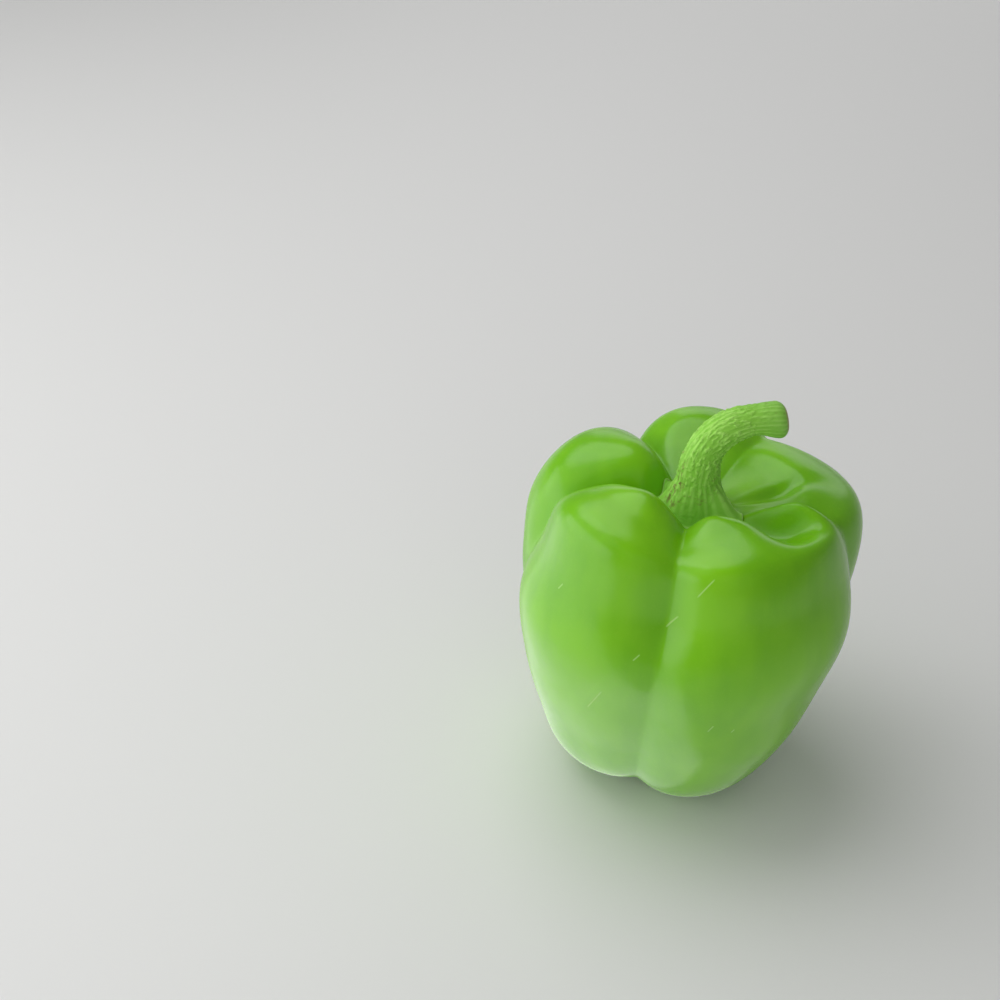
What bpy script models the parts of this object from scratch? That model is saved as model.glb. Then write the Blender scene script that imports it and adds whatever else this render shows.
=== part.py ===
"""A green bell pepper with five lobes, standing on its blossom end, with its stem and calyx.

The fruit grew as one body, so it is one solid. The stem and the calyx at its foot are a second
solid, which sits in the hollow at the top of the fruit. Lengths are in metres and +Z is up.
The origin is on the ground, midway between the outermost points of the fruit.
"""
from collections import namedtuple
import math

import bmesh
import bpy
from mathutils import Vector
from mathutils.bvhtree import BVHTree
import numpy as np

MM = 0.001

# Lobes, clockwise from above, the first at the front left; each length is a distance from the
# middle of the fruit, or a height above the ground before the feet are pressed flat
Lobe = namedtuple("Lobe", "foot foot_z waist belly shoulder crest crest_z")
LOBES = (
    Lobe(foot=16.1, foot_z=1.8, waist=34.6, belly=42.6, shoulder=39.1, crest=25.5, crest_z=92.6),
    Lobe(foot=17.9, foot_z=0.0, waist=34.5, belly=43.5, shoulder=44.4, crest=21.7, crest_z=90.5),
    Lobe(foot=18.0, foot_z=0.0, waist=34.0, belly=44.1, shoulder=42.7, crest=30.1, crest_z=88.3),
    Lobe(foot=18.0, foot_z=0.0, waist=34.8, belly=44.5, shoulder=44.9, crest=29.5, crest_z=84.0),
    Lobe(foot=19.1, foot_z=0.0, waist=39.9, belly=46.8, shoulder=42.5, crest=26.1, crest_z=91.0),
)

# Grooves, the first before the first lobe; heading in degrees from +X, slant in degrees from the
# middle height to the top, how far each is cut in at four heights, and its height at the crest
Groove = namedtuple("Groove", "heading slant foot waist belly shoulder pass_z")
GROOVES = (
    Groove(heading=263.7, slant=1.3, foot=3.7, waist=4.5, belly=4.5, shoulder=6.4, pass_z=85.4),
    Groove(heading=180.9, slant=-4.1, foot=4.0, waist=3.5, belly=3.8, shoulder=6.1, pass_z=80.5),
    Groove(heading=118.2, slant=-1.4, foot=4.0, waist=3.5, belly=4.5, shoulder=6.8, pass_z=81.3),
    Groove(heading=58.8, slant=1.3, foot=4.0, waist=3.5, belly=4.5, shoulder=5.5, pass_z=83.3),
    Groove(heading=-4.9, slant=-5.1, foot=4.0, waist=3.3, belly=4.5, shoulder=4.2, pass_z=82.4),
)

# Soft hollows in a lobe's crest, and humps where the depth is below zero; place is a fraction of
# the way across the lobe
Hollow = namedtuple("Hollow", "lobe place width shoulder crest inner inset")
HOLLOWS = (
    Hollow(lobe=4, place=0.28, width=0.18, shoulder=0.1, crest=10.4, inner=9.7, inset=0.75),
    Hollow(lobe=4, place=0.10, width=0.07, shoulder=-0.9, crest=-10.2, inner=-4.2, inset=0.0),
    Hollow(lobe=4, place=0.85, width=0.21, shoulder=-0.2, crest=0.8, inner=-3.7, inset=0.0),
    Hollow(lobe=0, place=0.28, width=0.31, shoulder=0.0, crest=-0.3, inner=-4.0, inset=0.0),
    Hollow(lobe=3, place=0.60, width=0.10, shoulder=0.0, crest=1.0, inner=2.5, inset=0.0),
)

# A low bulge at the waist of the front right lobe
BULGE_LOBE = 4
BULGE_PLACE = 0.42
BULGE_WIDTH = 0.22
BULGE_HEIGHT = 1.4

# Heights shared by all lobes, and the hollows at the two ends of the fruit
WAIST_Z = 25.0
BELLY_Z = 57.9
SHOULDER_Z = 73.3
PIT_Z = 78.0
PIT_RADIUS = 9.0
DIMPLE_Z = 8.0
DIMPLE_RISE = 3.0
FOOT_PRESS = 0.6

# How the outline swells between those places, down a ridge and down a groove, and how it turns
# in over the crest to the pit
Rounding = namedtuple("Rounding", "foot foot_rise belly crest crest_drop inner_drop pit_rise")
RIDGE_ROUNDING = Rounding(foot=2.2, foot_rise=6.5, belly=1.2, crest=3.0, crest_drop=4.0,
                          inner_drop=2.5, pit_rise=1.5)
GROOVE_ROUNDING = Rounding(foot=1.2, foot_rise=5.5, belly=1.0, crest=2.0, crest_drop=2.0,
                           inner_drop=0.3, pit_rise=0.8)
INNER_STEP = 8.0
GROOVE_CREST_STEP = 1.0
GROOVE_SHOULDER_DROP = 3.0

# Middle of the fruit at the ground and at the height of the stem's foot; it leans to one side
BOTTOM_MIDDLE = (-6.8, 2.2)
TOP_MIDDLE = (0.4, -1.1)
LEAN_HEIGHT = 90.0

# Roundness of a lobe across its width, and of the grooves' floors
LOBE_CURVE = 2.2
LOBE_FULLNESS = 0.75
FLOOR_RADIUS_BOTTOM = 4.0
FLOOR_RADIUS_TOP = 2.0
LOBE_ARC_RADIUS = 40.0

# Fineness of the fruit's surface
FRUIT_ROWS = 52
LOBE_COLUMNS = 20
COLUMN_GATHER = 0.3

# Stem: it rises from the calyx's neck and bends over to one side
NECK = (1.0, -0.5, 88.0)
NECK_RADIUS = 5.2
STEM_LENGTH = 28.5
STEM_HEADING = 13.0
STEM_END_TILT = 92.4
BEND_START = -1.5
BEND_END = 28.0
STEM_RADII = (5.2, 4.7, 4.35, 4.2, 3.75, 4.1)
CUT_SLANT = 9.0
CUT_SLANT_START = 0.6
CUT_ROUNDING = 2.3
CUT_TURNS = (30.0, 60.0, 90.0)
STEM_RIDGES = 8
RIDGE_HEIGHT = 0.15

# Calyx: a flared collar with pointed teeth, given as headings in degrees and lengths
CALYX_RADIUS = 8.6
CALYX_TEETH = ((-33.0, 4.7), (82.0, 2.8), (132.0, 2.6), (183.0, 2.4), (228.0, 1.2))
TOOTH_WIDTH = 20.0
CALYX_THICKNESS = 0.9
CALYX_FLARE = 1.35
CALYX_GAP = 0.35

# Fineness of the stem's surface
STEM_SIDES = 48
STEM_RINGS = 22
FLARE_RINGS = 7
UNDERSIDE_RINGS = 5
SHARP_EDGE = 50.0


def clear_scene():
    """Remove what the scene holds, so that only the pepper is left."""
    for item in list(bpy.data.objects):
        bpy.data.objects.remove(item, do_unlink=True)


def smoothstep(x):
    """Rise smoothly from 0 to 1 as x goes from 0 to 1."""
    x = np.clip(x, 0.0, 1.0)
    return x * x * (3.0 - 2.0 * x)


def spline(knots, places):
    """Catmull-Rom values along the first axis of knots, at places from 0 to 1."""
    spans = len(knots) - 1
    along = np.clip(places, 0.0, 1.0) * spans
    start = np.minimum(along.astype(int), spans - 1)
    part = (along - start).reshape((-1,) + (1,) * (knots.ndim - 1))
    before, near, far, after = (padded_ends(knots)[start + step] for step in range(4))
    linear = (far - before) * part
    square = (2 * before - 5 * near + 4 * far - after) * part**2
    cube = (3 * near - before - 3 * far + after) * part**3
    return 0.5 * (2 * near + linear + square + cube)


def padded_ends(knots):
    """Knots with one more at each end; an outline's ends are mirrored across the axis."""
    padded = np.concatenate([knots[1:2], knots, knots[-2:-1]])
    if knots.ndim == 3:
        padded[0, 0] *= -1.0
        padded[-1, 0] *= -1.0
    return padded


def outline(place, shoulder_z, rounding):
    """Outward distances and heights from the dimple below to the pit above."""
    out = (0.0, place.foot / 2, place.foot, (place.foot + place.waist) / 2 + rounding.foot,
           place.waist, (place.waist + place.belly) / 2 + rounding.belly, place.belly,
           place.shoulder, (place.shoulder + place.crest) / 2 + rounding.crest,
           place.crest, place.crest - INNER_STEP, PIT_RADIUS, 0.0)
    up = (DIMPLE_Z, place.foot_z + DIMPLE_RISE, place.foot_z, place.foot_z + rounding.foot_rise,
          WAIST_Z, (WAIST_Z + BELLY_Z) / 2, BELLY_Z,
          shoulder_z, place.crest_z - rounding.crest_drop,
          place.crest_z, place.crest_z - rounding.inner_drop, PIT_Z + rounding.pit_rise, PIT_Z)
    return np.array([out, up])


def ridge_outline(lobe):
    """The outline down the middle of a lobe."""
    return outline(lobe, SHOULDER_Z, RIDGE_ROUNDING)


def groove_outline(groove, before, after):
    """The outline down a groove, cut in from the mean of its two neighbouring lobes."""
    mean = Lobe(*((a + b) / 2 for a, b in zip(before, after)))
    floor = mean._replace(foot_z=mean.foot_z + groove.foot, waist=mean.waist - groove.waist,
                          belly=mean.belly - groove.belly,
                          shoulder=mean.shoulder - groove.shoulder,
                          crest=mean.crest - GROOVE_CREST_STEP, crest_z=groove.pass_z)
    return outline(floor, SHOULDER_Z - GROOVE_SHOULDER_DROP, GROOVE_ROUNDING)


def fullness(across, width, knots):
    """How far the surface has swelled from groove to ridge, for each knot and column."""
    height = smoothstep(np.linspace(0.0, 1.0, knots))[:, None]
    floor = FLOOR_RADIUS_TOP * height + FLOOR_RADIUS_BOTTOM * (1.0 - height)
    inward = (1.0 - np.abs(2.0 * across - 1.0)) * width
    softened = np.hypot(inward, floor) - floor
    share = softened / (np.hypot(width, floor) - floor)
    return (1.0 - (1.0 - share)**LOBE_CURVE)**LOBE_FULLNESS


def hollowed(ridge, lobe_index, across):
    """The ridge outline for each column, with the lobe's soft hollows and its low bulge."""
    outlines = np.repeat(ridge[:, :, None], len(across), axis=2)
    if lobe_index == BULGE_LOBE:
        outlines[0, 4] += BULGE_HEIGHT * np.exp(-((across - BULGE_PLACE) / BULGE_WIDTH)**2)
    for hollow in HOLLOWS:
        if hollow.lobe != lobe_index:
            continue
        depth = np.exp(-((across - hollow.place) / hollow.width)**2)
        outlines[1, 8] -= hollow.shoulder * depth
        outlines[1, 9] -= hollow.crest * depth
        outlines[1, 10] -= hollow.inner * depth
        outlines[0, 7] -= hollow.inset * depth
        outlines[0, 8] -= hollow.inset * depth
    return outlines


def lobe_points(index, heights, across):
    """Points of one lobe, from the groove on its one side to just before the next groove."""
    lobe = LOBES[index]
    first, second = GROOVES[index], GROOVES[(index + 1) % len(GROOVES)]
    following = LOBES[(index + 1) % len(LOBES)]
    first_heading, second_heading = first.heading, second.heading
    if second_heading > first_heading:
        second_heading -= 360.0
    half_width = math.radians(first_heading - second_heading) / 2 * LOBE_ARC_RADIUS

    ridge = hollowed(ridge_outline(lobe), index, across)
    blend = smoothstep(across)
    floor = (groove_outline(first, LOBES[index - 1], lobe)[:, :, None] * (1.0 - blend)
             + groove_outline(second, lobe, following)[:, :, None] * blend)
    share = fullness(across, half_width, ridge.shape[1])
    out, up = np.moveaxis(spline(np.moveaxis(floor * (1.0 - share) + ridge * share, 1, 0),
                                 heights), 1, 0)

    turn = (2.0 * heights - 1.0)[:, None]
    start = first_heading + first.slant * turn
    end = second_heading + second.slant * turn
    heading = np.radians(start * (1.0 - across) + end * across)
    lean = smoothstep(up / LEAN_HEIGHT)
    middle_x = BOTTOM_MIDDLE[0] * (1.0 - lean) + TOP_MIDDLE[0] * lean
    middle_y = BOTTOM_MIDDLE[1] * (1.0 - lean) + TOP_MIDDLE[1] * lean
    return np.stack([middle_x + out * np.cos(heading), middle_y + out * np.sin(heading), up], -1)


def fruit_points(rows, columns):
    """Rows of points round the whole fruit, with the row at each end shrunk to one point."""
    heights = np.linspace(0.0, 1.0, rows + 2)
    even = np.arange(columns) / columns
    across = even - COLUMN_GATHER * np.sin(2 * math.pi * even) / (2 * math.pi)
    points = np.concatenate([lobe_points(i, heights, across) for i in range(len(LOBES))], axis=1)
    points[:, :, 2] = np.maximum(points[:, :, 2] - FOOT_PRESS, 0.0)
    low = points.reshape(-1, 3).min(axis=0)
    high = points.reshape(-1, 3).max(axis=0)
    points[:, :, :2] -= ((low + high) / 2)[:2]
    return points


def closed_mesh(name, rings, first_pole, last_pole):
    """A closed mesh through rings of equally many points, with a point at each end."""
    bm = bmesh.new()
    loops = [[bm.verts.new(Vector(point) * MM) for point in ring] for ring in rings]
    sides = len(loops[0])
    for lower, upper in zip(loops, loops[1:]):
        for i in range(sides):
            j = (i + 1) % sides
            bm.faces.new((lower[i], lower[j], upper[j], upper[i]))
    for ring, pole in ((loops[0], first_pole), (loops[-1], last_pole)):
        tip = bm.verts.new(Vector(pole) * MM)
        for i in range(sides):
            bm.faces.new((ring[i], ring[(i + 1) % sides], tip))
    bmesh.ops.triangulate(bm, faces=bm.faces[:], quad_method="SHORT_EDGE")
    bmesh.ops.recalc_face_normals(bm, faces=bm.faces[:])
    mesh = bpy.data.meshes.new(name)
    bm.to_mesh(mesh)
    bm.free()
    mesh.shade_smooth()
    return mesh


def add_object(name, mesh, material):
    """Put a mesh into the scene as one named object."""
    mesh.materials.append(material)
    item = bpy.data.objects.new(name, mesh)
    bpy.context.scene.collection.objects.link(item)
    return item


def surface_material(name, color, roughness):
    """A plain surface of one colour, which isn't a metal."""
    material = bpy.data.materials.new(name)
    material.use_nodes = True
    shader = material.node_tree.nodes["Principled BSDF"]
    shader.inputs["Base Color"].default_value = (*color, 1.0)
    shader.inputs["Roughness"].default_value = roughness
    shader.inputs["Metallic"].default_value = 0.0
    material.diffuse_color = (*color, 1.0)
    return material


def make_fruit():
    """The fruit: five lobes round a dimple below and a pit above, on flattened feet."""
    points = fruit_points(FRUIT_ROWS, LOBE_COLUMNS)
    mesh = closed_mesh("fruit", points[1:-1], points[0].mean(axis=0), points[-1].mean(axis=0))
    return add_object("fruit", mesh, surface_material("waxy_green_skin", (0.15, 0.37, 0.02), 0.3))


def stem_frames(rings):
    """Centre, forward and up directions of each ring along the bent stem."""
    heading = math.radians(STEM_HEADING)
    sideways = np.array([math.cos(heading), math.sin(heading), 0.0])
    step = STEM_LENGTH / (rings - 1)
    centre = np.array(NECK)
    frames = []
    for ring in range(rings):
        bend = smoothstep((ring * step - BEND_START) / (BEND_END - BEND_START))
        tilt = math.radians(STEM_END_TILT * bend)
        forward = sideways * math.sin(tilt) + np.array([0.0, 0.0, math.cos(tilt)])
        outer = np.array([0.0, 0.0, math.sin(tilt)]) - sideways * math.cos(tilt)
        frames.append((centre.copy(), forward, outer))
        centre = centre + forward * step
    return frames


def stem_rings():
    """Rings up the stem with its ridges, which slant towards the cut end and round over it."""
    angles = np.arange(STEM_SIDES) * 2 * math.pi / STEM_SIDES
    frames = stem_frames(STEM_RINGS)
    places = np.linspace(0.0, 1.0, STEM_RINGS)
    radii = spline(np.array(STEM_RADII), places)
    side = np.array([-math.sin(math.radians(STEM_HEADING)), math.cos(math.radians(STEM_HEADING)), 0])
    cut = math.tan(math.radians(CUT_SLANT))
    rings = []
    for (centre, forward, outer), place, radius in zip(frames, places, radii):
        rough = radius + RIDGE_HEIGHT * np.cos(STEM_RIDGES * angles)
        across, along = -rough * np.cos(angles), rough * np.sin(angles)
        slant = -cut * across * smoothstep((place - CUT_SLANT_START) / (1.0 - CUT_SLANT_START))
        rings.append(centre + np.outer(across, outer) + np.outer(along, side)
                     + np.outer(slant, forward))
    last, forward = rings[-1], frames[-1][1]
    end = last.mean(axis=0)
    for turn in np.radians(CUT_TURNS):
        size = 1.0 - CUT_ROUNDING / radii[-1] * (1.0 - math.cos(turn))
        rings.append(end + (last - end) * size + forward * CUT_ROUNDING * math.sin(turn))
    return rings, end + forward * CUT_ROUNDING


def calyx_edge(angles):
    """Distance of the calyx's edge from the stem's middle, in each direction."""
    edge = np.full(len(angles), CALYX_RADIUS)
    for heading, length in CALYX_TEETH:
        away = (np.degrees(angles) - heading + 180.0) % 360.0 - 180.0
        edge += length * np.exp(-(away / TOOTH_WIDTH)**2)
    return edge


def skin_heights(tree, points):
    """Heights of the fruit's skin below points seen from above, with the gap added."""
    heights = []
    for x, y in points:
        place, normal, _, _ = tree.ray_cast(Vector((x * MM, y * MM, 1.0)), Vector((0, 0, -1)))
        heights.append(place.z / MM + CALYX_GAP / normal.z)
    return np.array(heights)


def calyx_rings(tree):
    """Rings of the calyx: its underside from the middle outwards, then its top to the neck."""
    angles = np.arange(STEM_SIDES) * 2 * math.pi / STEM_SIDES + math.radians(STEM_HEADING)
    edge = calyx_edge(angles)
    directions = np.stack([np.cos(angles), np.sin(angles)], -1)
    middle = np.array(NECK[:2])
    rings = []
    for share in np.linspace(0.0, 1.0, UNDERSIDE_RINGS + 1)[1:]:
        spots = middle + directions * (edge * share)[:, None]
        rings.append(np.column_stack([spots, skin_heights(tree, spots)]))
    neck = NECK_RADIUS + RIDGE_HEIGHT * np.cos(STEM_RIDGES * (angles - math.radians(STEM_HEADING)))
    for share in np.linspace(1.0, 0.0, FLARE_RINGS, endpoint=False):
        spots = middle + directions * (neck + (edge - neck) * share)[:, None]
        low = skin_heights(tree, spots) + CALYX_THICKNESS
        rise = (1.0 - share)**CALYX_FLARE
        rings.append(np.column_stack([spots, low + (NECK[2] - low) * rise]))
    pole = (*middle, skin_heights(tree, [middle])[0])
    return rings, pole


def make_stem(fruit):
    """The stem with its calyx, dropped onto the fruit's skin with a hair's gap."""
    bm = bmesh.new()
    bm.from_mesh(fruit.data)
    tree = BVHTree.FromBMesh(bm)
    bm.free()
    lower, pole = calyx_rings(tree)
    upper, end = stem_rings()
    mesh = closed_mesh("stem", lower + upper, pole, end)
    mesh.set_sharp_from_angle(angle=math.radians(SHARP_EDGE))
    return add_object("stem", mesh, surface_material("green_stem", (0.16, 0.33, 0.06), 0.55))


def main():
    clear_scene()
    fruit = make_fruit()
    make_stem(fruit)


main()
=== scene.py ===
from collections import namedtuple
import math
import random

import bmesh
import bpy
from bpy.props import FloatProperty, FloatVectorProperty, IntProperty, PointerProperty
from mathutils import Euler, Matrix, Vector
from mathutils.bvhtree import BVHTree
import numpy as np


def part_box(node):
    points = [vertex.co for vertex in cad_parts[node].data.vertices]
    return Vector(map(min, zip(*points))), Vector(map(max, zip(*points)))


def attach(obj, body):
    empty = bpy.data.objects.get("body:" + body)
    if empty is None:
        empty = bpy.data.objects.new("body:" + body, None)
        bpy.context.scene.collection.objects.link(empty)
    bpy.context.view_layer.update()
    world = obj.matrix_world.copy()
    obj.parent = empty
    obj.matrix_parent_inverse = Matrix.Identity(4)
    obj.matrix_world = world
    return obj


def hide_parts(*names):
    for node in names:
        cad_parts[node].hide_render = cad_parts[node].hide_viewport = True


bl_info = {
    "name": "Green bell pepper",
    "version": (1, 0, 0),
    "blender": (4, 5, 0),
    "location": "3D Viewport > Sidebar > Pepper",
    "description": "Makes a green bell pepper with its stem and a pale table over its packed model",
    "category": "Add Mesh",
}

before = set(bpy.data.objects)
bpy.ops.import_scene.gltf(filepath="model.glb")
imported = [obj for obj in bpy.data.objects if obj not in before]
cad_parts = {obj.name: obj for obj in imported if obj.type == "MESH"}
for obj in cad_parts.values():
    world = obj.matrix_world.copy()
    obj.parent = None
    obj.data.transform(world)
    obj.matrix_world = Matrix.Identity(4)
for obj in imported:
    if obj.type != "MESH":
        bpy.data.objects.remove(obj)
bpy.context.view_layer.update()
MM = 0.001

# Lobes, clockwise from above, the first at the front left; each length is a distance from the
# middle of the fruit, or a height above the ground before the feet are pressed flat, in millimetres
Lobe = namedtuple("Lobe", "foot foot_z waist belly shoulder crest crest_z")
LOBES = (
    Lobe(16.1, 1.8, 34.6, 42.6, 39.1, 25.5, 92.6),
    Lobe(17.9, 0.0, 34.5, 43.5, 44.4, 21.7, 90.5),
    Lobe(18.0, 0.0, 34.0, 44.1, 42.7, 30.1, 88.3),
    Lobe(18.0, 0.0, 34.8, 44.5, 44.9, 29.5, 84.0),
    Lobe(19.1, 0.0, 39.9, 46.8, 42.5, 26.1, 91.0),
)

# Grooves, the first before the first lobe; heading in degrees from +X, slant in degrees from the
# middle height to the top, how far each is cut in at four heights, in millimetres, and its height
# at the crest
Groove = namedtuple("Groove", "heading slant foot waist belly shoulder pass_z")
GROOVES = (
    Groove(263.7, 1.3, 3.7, 4.5, 4.5, 6.4, 85.4),
    Groove(180.9, -4.1, 4.0, 3.5, 3.8, 6.1, 80.5),
    Groove(118.2, -1.4, 4.0, 3.5, 4.5, 6.8, 81.3),
    Groove(58.8, 1.3, 4.0, 3.5, 4.5, 5.5, 83.3),
    Groove(-4.9, -5.1, 4.0, 3.3, 4.5, 4.2, 82.4),
)

# Soft hollows in a lobe's crest, and humps where the depth is below zero; place is a fraction of
# the way across the lobe
Hollow = namedtuple("Hollow", "lobe place width shoulder crest inner inset")
HOLLOWS = (
    Hollow(4, 0.28, 0.18, 0.1, 10.4, 9.7, 0.75),
    Hollow(4, 0.10, 0.07, -0.9, -10.2, -4.2, 0.0),
    Hollow(4, 0.85, 0.21, -0.2, 0.8, -3.7, 0.0),
    Hollow(0, 0.28, 0.31, 0.0, -0.3, -4.0, 0.0),
    Hollow(3, 0.60, 0.10, 0.0, 1.0, 2.5, 0.0),
)

# A low bulge at the waist of the front right lobe, placed as a hollow is
BULGE_LOBE = 4
BULGE_PLACE = 0.42
BULGE_WIDTH = 0.22
BULGE_HEIGHT = 1.4

# Heights shared by all lobes, and the hollows at the two ends of the fruit
WAIST_Z = 25.0
BELLY_Z = 57.9
SHOULDER_Z = 73.3
PIT_Z = 78.0
PIT_RADIUS = 9.0
DIMPLE_Z = 8.0
DIMPLE_RISE = 3.0

# How the outline swells between those places, down a ridge and down a groove, and how it turns
# in over the crest to the pit
Rounding = namedtuple("Rounding", "foot foot_rise belly crest crest_drop inner_drop pit_rise")
RIDGE_ROUNDING = Rounding(foot=2.2, foot_rise=6.5, belly=1.2, crest=3.0, crest_drop=4.0,
                          inner_drop=2.5, pit_rise=1.5)
GROOVE_ROUNDING = Rounding(foot=1.2, foot_rise=5.5, belly=1.0, crest=2.0, crest_drop=2.0,
                           inner_drop=0.3, pit_rise=0.8)
INNER_STEP = 8.0
GROOVE_CREST_STEP = 1.0
GROOVE_SHOULDER_DROP = 3.0

# Rows of an outline, and the knots in them that hollows and the bulge move
OUT, UP = 0, 1
WAIST, SHOULDER, SLOPE, CREST, INNER = 4, 7, 8, 9, 10

# Middle of the fruit at the ground and at the height of the stem's foot, as it leans to one side,
# and the radius at which a lobe's width is measured
BOTTOM_MIDDLE = (-6.8, 2.2)
TOP_MIDDLE = (0.4, -1.1)
LOBE_ARC_RADIUS = 40.0

# Fineness of the fruit's surface, and how strongly its columns gather at the grooves
FRUIT_ROWS = 250
LOBE_COLUMNS = 44
COLUMN_GATHER = 0.35

# Stem: it rises from the calyx's neck, bends over to one side and ends in a slanted, rounded cut;
# places along it are shares of its length, and the cut's edge is a share of its face
NECK = (1.0, -0.5, 88.0)
NECK_RADIUS = 5.2
STEM_LENGTH = 28.5
STEM_HEADING = 13.0
STEM_END_TILT = 92.4
BEND_START = -1.5
BEND_END = 28.0
STEM_RADII = (5.2, 4.7, 4.35, 4.2, 3.75, 4.1)
CUT_SLANT = 9.0
CUT_SLANT_START = 0.6
CUT_ROUNDING = 2.3
CUT_HOLLOW = 0.3
CUT_EDGE = 0.1
ROUND_RINGS = 10
HEEL_FLARE = 0.8
HEEL_START = 0.78

# Calyx: a flared collar with pointed teeth, given as headings in degrees and lengths, and a thin
# raised rim; dry specks gather at one place round it, given as a share of a turn
CALYX_RADIUS = 8.6
CALYX_TEETH = ((-33.0, 4.7), (82.0, 2.8), (132.0, 2.6), (183.0, 2.4), (228.0, 1.2))
TOOTH_WIDTH = 20.0
CALYX_THICKNESS = 0.55
CALYX_FLARE = 1.35
TOOTH_FLARE = 1.0
CALYX_SINK = 0.25
RIM_HEIGHT = 0.22
RIM_WIDTH = 0.08
DRY_PATCH = 0.54

# Fineness of the stem's surface
STEM_SIDES = 160
STEM_RINGS = 190
FLARE_RINGS = 44
UNDERSIDE_RINGS = 10
CUT_RINGS = 8

# How a node tree is laid out
NODE_SPACING = (180, -160)
NODE_ROWS = 6

# Camera: where the photograph was taken from, in metres and degrees, with its lens and sensor in
# millimetres and the photograph's width in pixels
CAMERA_PLACE = (-0.0006, -0.3955, 0.3575)
CAMERA_YAW = 6.82
CAMERA_PITCH = 54.82
CAMERA_LENS = 70.0
CAMERA_SENSOR = 36.0
IMAGE_SIZE = 1000.0

# Dry scratches on the skin, from end to end, in pixels of the photograph
SCRATCH_PIXELS = (
    ((697.0, 598.0), (715.5, 579.0)),
    ((665.5, 627.5), (678.7, 616.0)),
    ((632.5, 661.0), (640.0, 654.5)),
    ((587.0, 707.5), (602.0, 691.0)),
    ((558.0, 588.7), (563.0, 583.7)),
    ((707.5, 732.0), (713.7, 726.0)),
    ((731.0, 732.5), (734.5, 729.5)),
)

# How wide the scratches are and how deep they reach, in millimetres, where they taper, as shares of
# their length, and the ranges of those on the hidden sides, in degrees, millimetres and radians
SCRATCH_WIDTH = 0.24
SCRATCH_DEPTH = 4.0
SCRATCH_TAPER = (0.35, 0.5)
BACK_SCRATCHES = 5
BACK_HEADINGS = (-20.0, 190.0)
BACK_HEIGHTS = (25.0, 75.0)
BACK_SLANTS = (1.0, 5.0)
BACK_HALF_TURNS = (0.01, 0.05)
SCRATCH_SEED = 11

# Skin: how fine its patterns are, per metre, and how deep its relief is, in millimetres
PATCH_SCALE = 42.0
STREAK_SCALE = 260.0
DOT_SCALE = 650.0
GRAIN_SCALE = 1400.0
GRAIN_DEPTH = 0.012
RIPPLE_SCALE = 240.0
RIPPLE_DEPTH = 0.08
SCAR_EDGE = (2.8, 4.2)
SCAR_SCALE = 900.0
SCAR_WANDER = 2.0

# Stem: how fine its patterns are, per metre, its relief in millimetres, and its lesser colours
WANDER_SCALE = 170.0
WANDER_TURN = 7.0
BREAK_SCALE = 320.0
ROUGH_SCALE = 2200.0
ROUGH_HEIGHT = 0.08
CLOUD_SCALE = 180.0
DRY_SCALE = 420.0
SPECK_SCALE = 1500.0
FIBRE_SCALE = 1600.0
STEM_GRAIN_SCALE = 1800.0
STEM_GRAIN_DEPTH = 0.06
TIP_GREEN = (0.2, 0.46, 0.08)
RIM_GREEN = (0.42, 0.62, 0.2)
CUT_DARK = (0.3, 0.36, 0.1)

# Table: its sides, and how fine and deep its faint tooth is, per metre and in millimetres
TABLE_SIDES = 96
TOOTH_SCALE = 900.0
TOOTH_DEPTH = 0.02

# Soft white panels that the camera doesn't see, with places and sizes in metres, and the kind of
# ray that doesn't see them either; each faces the fruit, but one with a turn in degrees lies on the
# table and faces up
Light = namedtuple("Light", "name place size shape unseen turn",
                   defaults=("RECTANGLE", None, None))
LIGHTS = (
    Light("side_light", (-0.585, -0.125, 0.137), (0.86, 0.27)),
    Light("high_light", (-0.48, -0.085, 0.496), (0.85, 0.6), shape="ELLIPSE"),
    Light("over_light", (-0.28, 0.2, 0.7), (0.75, 0.85), shape="ELLIPSE"),
    Light("back_light", (0.1, 0.8, 0.25), (0.7, 0.35)),
    Light("fill_light", (0.0, -0.6, 0.3), (0.6, 0.5), unseen="glossy"),
    Light("card_light", (-0.286, -0.074, 0.002), (0.4, 0.44), unseen="diffuse", turn=-41.0),
    Light("near_card", (0.1, -0.15, 0.002), (0.3, 0.26), unseen="diffuse", turn=0.0),
)
LIGHT_TARGET = (0.0, 0.0, 0.05)


def smoothstep(x):
    """Rise smoothly from 0 to 1 as x goes from 0 to 1."""
    x = np.clip(x, 0.0, 1.0)
    return x * x * (3.0 - 2.0 * x)


def padded_ends(knots):
    """Knots with one more at each end; an outline's ends are mirrored across the axis."""
    padded = np.concatenate([knots[1:2], knots, knots[-2:-1]])
    if knots.ndim > 1:
        padded[0, OUT] *= -1.0
        padded[-1, OUT] *= -1.0
    return padded


def spline(knots, places):
    """Catmull-Rom values along the first axis of knots, at places from 0 to 1."""
    spans = len(knots) - 1
    along = np.clip(places, 0.0, 1.0) * spans
    start = np.minimum(along.astype(int), spans - 1)
    part = (along - start).reshape((-1,) + (1,) * (knots.ndim - 1))
    before, near, far, after = (padded_ends(knots)[start + step] for step in range(4))
    linear = (far - before) * part
    square = (2 * before - 5 * near + 4 * far - after) * part**2
    cube = (3 * near - before - 3 * far + after) * part**3
    return 0.5 * (2 * near + linear + square + cube)


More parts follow.
